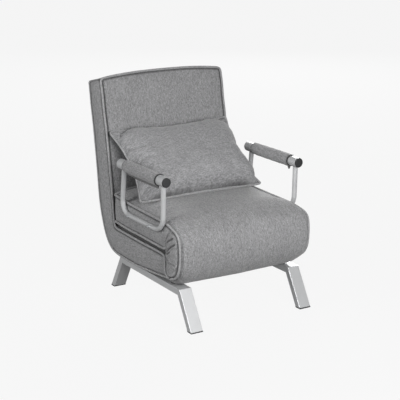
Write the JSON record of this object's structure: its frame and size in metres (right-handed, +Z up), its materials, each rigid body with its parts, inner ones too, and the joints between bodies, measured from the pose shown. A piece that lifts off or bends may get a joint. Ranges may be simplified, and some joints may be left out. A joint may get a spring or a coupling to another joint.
{
  "type": "convertible chair bed",
  "caption": "Folding upholstered chair bed: a three-section mattress on leg frames, with a flip-over seat, a ratchet recliner back, loop armrests and a loose lumbar pillow",
  "frame": {"origin": "on the floor, under the middle of the whole chair", "axes": "+Z up, -Y to the front where the sitter's feet are, +X to the right seen from the front"},
  "size_m": [0.625, 0.7668, 0.8453],
  "materials": {
    "linen": "heathered grey linen-look polyester weave over polyurethane foam",
    "arm_sleeve": "the same grey weave wrapped over thin foam",
    "silver_coat": "light silver-grey powder coat on steel tube",
    "black_steel": "black coated steel tube and plate",
    "zinc": "bright zinc-plated fasteners",
    "black_plastic": "moulded black plastic",
    "black_rubber": "black rubber sleeve"
  },
  "bodies": {
    "base": {"middle_frame": "black_steel", "middle_cushion": "linen", "front_fold_pad": "linen", "rear_corner_pad": "linen", "left_leg_frame": "silver_coat", "left_front_foot_cap": "black_plastic", "left_rear_foot_cap": "black_plastic", "left_front_leg_bolt": "zinc", "left_rear_leg_bolt": "zinc", "left_lower_fold_plate": "black_steel", "left_fold_pin": "zinc", "left_ratchet_sector": "black_steel", "left_ratchet_pin": "zinc", "right_leg_frame": "silver_coat", "right_front_foot_cap": "black_plastic", "right_rear_foot_cap": "black_plastic", "right_front_leg_bolt": "zinc", "right_rear_leg_bolt": "zinc", "right_lower_fold_plate": "black_steel", "right_fold_pin": "zinc", "right_ratchet_sector": "black_steel", "right_ratchet_pin": "zinc"},
    "seat": {"seat_frame": "black_steel", "seat_cushion": "linen", "left_upper_fold_plate": "black_steel", "left_arm_loop": "silver_coat", "left_arm_bar": "silver_coat", "left_arm_pad": "arm_sleeve", "left_front_arm_cap": "black_plastic", "left_rear_arm_cap": "black_plastic", "left_front_arm_bolt": "zinc", "left_rear_arm_bolt": "zinc", "left_front_arm_spacer": "black_plastic", "left_rear_arm_spacer": "black_plastic", "right_upper_fold_plate": "black_steel", "right_arm_loop": "silver_coat", "right_arm_bar": "silver_coat", "right_arm_pad": "arm_sleeve", "right_front_arm_cap": "black_plastic", "right_rear_arm_cap": "black_plastic", "right_front_arm_bolt": "zinc", "right_rear_arm_bolt": "zinc", "right_front_arm_spacer": "black_plastic", "right_rear_arm_spacer": "black_plastic"},
    "backrest": {"back_frame": "black_steel", "back_cushion": "linen", "left_ratchet_arm": "black_steel", "left_support_bracket": "black_steel", "right_ratchet_arm": "black_steel", "right_support_bracket": "black_steel"},
    "support_leg": {"support_leg": "silver_coat", "left_support_foot": "black_rubber", "right_support_foot": "black_rubber"},
    "left_pawl": {"left_pawl": "zinc"},
    "right_pawl": {"right_pawl": "zinc"},
    "pillow": {"pillow": "linen"}
  },
  "joints": [
    {"name": "seat_flip", "type": "hinge", "parent": "base", "child": "seat", "pos_m": [0, -0.29628, 0.28], "axis": [1, 0, 0], "range_deg": [0, 180], "deforming": ["front_fold_pad"]},
    {"name": "backrest_recline", "type": "hinge", "parent": "base", "child": "backrest", "pos_m": [0, 0.19872, 0.262], "axis": [-1, 0, 0], "range_deg": [0, 80], "deforming": ["rear_corner_pad"]},
    {"name": "support_leg_swing", "type": "hinge", "parent": "backrest", "child": "support_leg", "pos_m": [0, 0.37138, 0.63772], "axis": [1, 0, 0], "range_deg": [-10, 80]},
    {"name": "pillow_slide", "type": "slide", "parent": "seat", "child": "pillow", "axis": [0, -0.9659, 0.2588], "range_m": [0, 0.15]},
    {"name": "left_pawl_rock", "type": "hinge", "parent": "backrest", "child": "left_pawl", "pos_m": [-0.2259, 0.20109, 0.29592], "axis": [1, 0, 0], "range_deg": [0, 12], "stiffness_Nm_per_rad": 0.05, "springref_deg": -20.05},
    {"name": "right_pawl_rock", "type": "hinge", "parent": "backrest", "child": "right_pawl", "pos_m": [0.2259, 0.20109, 0.29592], "axis": [1, 0, 0], "range_deg": [0, 12], "stiffness_Nm_per_rad": 0.05, "springref_deg": -20.05}
  ]
}
